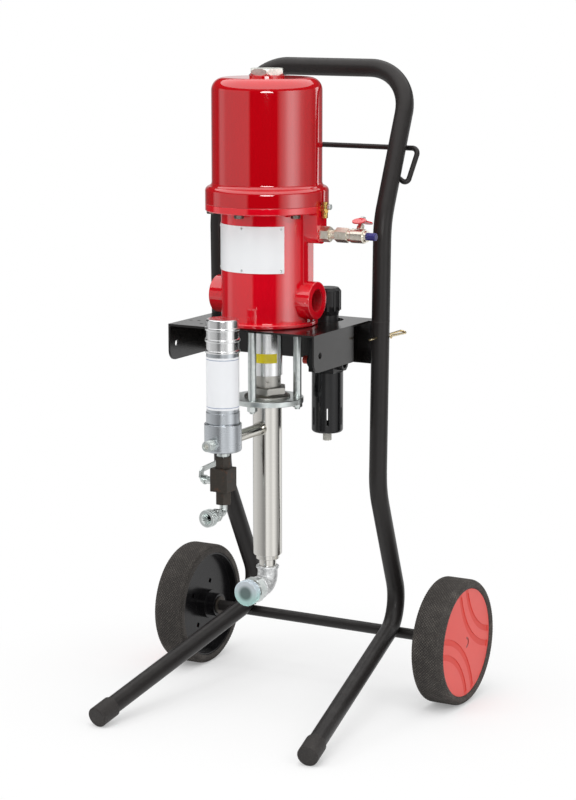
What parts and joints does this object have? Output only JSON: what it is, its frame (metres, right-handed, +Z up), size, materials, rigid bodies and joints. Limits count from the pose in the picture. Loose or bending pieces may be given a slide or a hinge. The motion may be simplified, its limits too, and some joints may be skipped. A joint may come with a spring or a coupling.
{
  "type": "airless paint sprayer",
  "caption": "Tall airless paint sprayer: red air motor and piston pump on a black tubular two-wheeled cart, with paint filter, bleed valve and air regulator.",
  "frame": {"origin": "on the floor, in the middle of the outline of the whole cart", "axes": "+Z up; -Y is the front, where the two rubber feet and the paint filter are; +X is the side with the air inlet valve and the regulator"},
  "size_m": [0.6582, 0.612, 1.2604],
  "materials": {
    "frame_black": "semi-gloss black powder coat",
    "motor_red": "gloss red enamel",
    "zinc_plate": "bright zinc plate",
    "nickel_plate": "nickel plate, satin",
    "stainless": "turned stainless steel",
    "gold_zinc": "yellow chromated zinc",
    "brass": "bare brass",
    "aluminium": "turned aluminium",
    "galvanised": "galvanised malleable iron",
    "rubber_black": "moulded black rubber",
    "tyre_black": "solid tyre with a fine diamond tread",
    "plastic_black": "black moulded nylon",
    "plastic_red": "red moulded plastic",
    "vinyl_red": "red dipped vinyl",
    "plastic_navy": "dark blue moulded plastic",
    "plastic_teal": "clear teal moulded plastic",
    "plastic_white": "off-white moulded plastic",
    "plate_white": "white enamelled plate",
    "black_steel": "black phosphated steel"
  },
  "bodies": {
    "frame": {"leg_left": "frame_black", "leg_right": "frame_black", "handle": "frame_black", "hose_hook": "frame_black", "axle": "frame_black", "foot_caps": "rubber_black", "bracket": "frame_black", "axle_retainers": "zinc_plate", "motor_body": "motor_red", "motor_bell": "motor_red", "motor_bolts": "zinc_plate", "top_plug": "zinc_plate", "nameplate": "plate_white", "relief_valve": "brass", "inlet_fittings": "nickel_plate", "air_valve_body": "nickel_plate", "tie_rods": "zinc_plate", "tie_rod_nuts": "zinc_plate", "oil_cup": "zinc_plate", "gland_nut": "stainless", "packing": "plastic_white", "clamp_nut": "stainless", "pump_flange": "zinc_plate", "pump_barrel": "stainless", "foot_valve_seat": "stainless", "suction_elbow": "galvanised", "suction_nipple": "zinc_plate", "branch_tube": "nickel_plate", "filter_base": "zinc_plate", "filter_body": "aluminium", "filter_cap": "aluminium", "filter_screen": "stainless", "filter_fittings": "zinc_plate", "bleed_valve_body": "black_steel", "regulator_body": "plastic_black", "regulator_bowl": "plastic_black", "regulator_bracket": "frame_black"},
    "wheel_left": {"tyre_left": "tyre_black", "rim_left": "plastic_black", "wheel_cap_left": "plastic_red"},
    "wheel_right": {"tyre_right": "tyre_black", "rim_right": "plastic_black", "wheel_cap_right": "plastic_red"},
    "pin_left": {"handle_pin_left": "gold_zinc"},
    "pin_right": {"handle_pin_right": "gold_zinc"},
    "relief_pull": {"relief_knob": "zinc_plate"},
    "air_valve": {"air_valve_stem": "zinc_plate", "air_valve_handle": "vinyl_red"},
    "air_plug": {"inlet_plug": "plastic_navy"},
    "piston_set": {"air_piston": "aluminium", "piston_seal": "rubber_black", "piston_rod": "stainless", "pump_piston": "stainless"},
    "spool": {"valve_spool": "stainless"},
    "foot_ball": {"foot_valve_ball": "stainless"},
    "suction_cover": {"suction_cap": "plastic_teal"},
    "bleed_handle": {"bleed_lever": "zinc_plate"},
    "pressure_knob": {"regulator_knob": "plastic_black"},
    "bowl_drain": {"regulator_drain": "plastic_white"},
    "port_plug": {"regulator_plug": "plastic_red"}
  },
  "joints": [
    {"name": "wheel_left_spin", "type": "hinge", "parent": "frame", "child": "wheel_left", "pos_m": [-0.295, 0.18103, 0.125], "axis": [1, 0, 0], "continuous": true},
    {"name": "wheel_right_spin", "type": "hinge", "parent": "frame", "child": "wheel_right", "pos_m": [0.295, 0.18103, 0.125], "axis": [1, 0, 0], "continuous": true},
    {"name": "pin_left_pull", "type": "slide", "parent": "frame", "child": "pin_left", "axis": [0, 1, 0], "range_m": [0, 0.07]},
    {"name": "pin_right_pull", "type": "slide", "parent": "frame", "child": "pin_right", "axis": [0, 1, 0], "range_m": [0, 0.07]},
    {"name": "relief_pull_slide", "type": "slide", "parent": "frame", "child": "relief_pull", "axis": [1, 0, 0], "range_m": [0, 0.002], "stiffness_N_per_m": 400},
    {"name": "air_valve_turn", "type": "hinge", "parent": "frame", "child": "air_valve", "pos_m": [0.195, -0.04157, 0.945], "axis": [0, 0.5, 0.866], "range_deg": [0, 90]},
    {"name": "air_plug_pull", "type": "slide", "parent": "frame", "child": "air_plug", "axis": [1, 0, 0], "range_m": [0, 0.03]},
    {"name": "piston_stroke", "type": "slide", "parent": "frame", "child": "piston_set", "axis": [0, 0, 1], "range_m": [0, 0.12]},
    {"name": "spool_shift", "type": "slide", "parent": "frame", "child": "spool", "axis": [0, 0, 1], "range_m": [0, 0.014]},
    {"name": "foot_ball_lift", "type": "slide", "parent": "frame", "child": "foot_ball", "axis": [0, 0, 1], "range_m": [0, 0.004]},
    {"name": "suction_cover_pull", "type": "slide", "parent": "frame", "child": "suction_cover", "axis": [0, -1, 0], "range_m": [0, 0.04]},
    {"name": "bleed_handle_turn", "type": "hinge", "parent": "frame", "child": "bleed_handle", "pos_m": [-0.03, -0.20797, 0.49], "axis": [-1, 0, 0], "range_deg": [0, 90]},
    {"name": "pressure_knob_turn", "type": "hinge", "parent": "frame", "child": "pressure_knob", "pos_m": [0.081, 0.05103, 0.8], "axis": [0, 0, 1], "range_deg": [-540, 540]},
    {"name": "bowl_drain_turn", "type": "hinge", "parent": "frame", "child": "bowl_drain", "pos_m": [0.081, 0.05103, 0.54], "axis": [0, 0, 1], "range_deg": [0, 90]},
    {"name": "port_plug_pull", "type": "slide", "parent": "frame", "child": "port_plug", "axis": [-1, 0, 0], "range_m": [0, 0.03]}
  ]
}
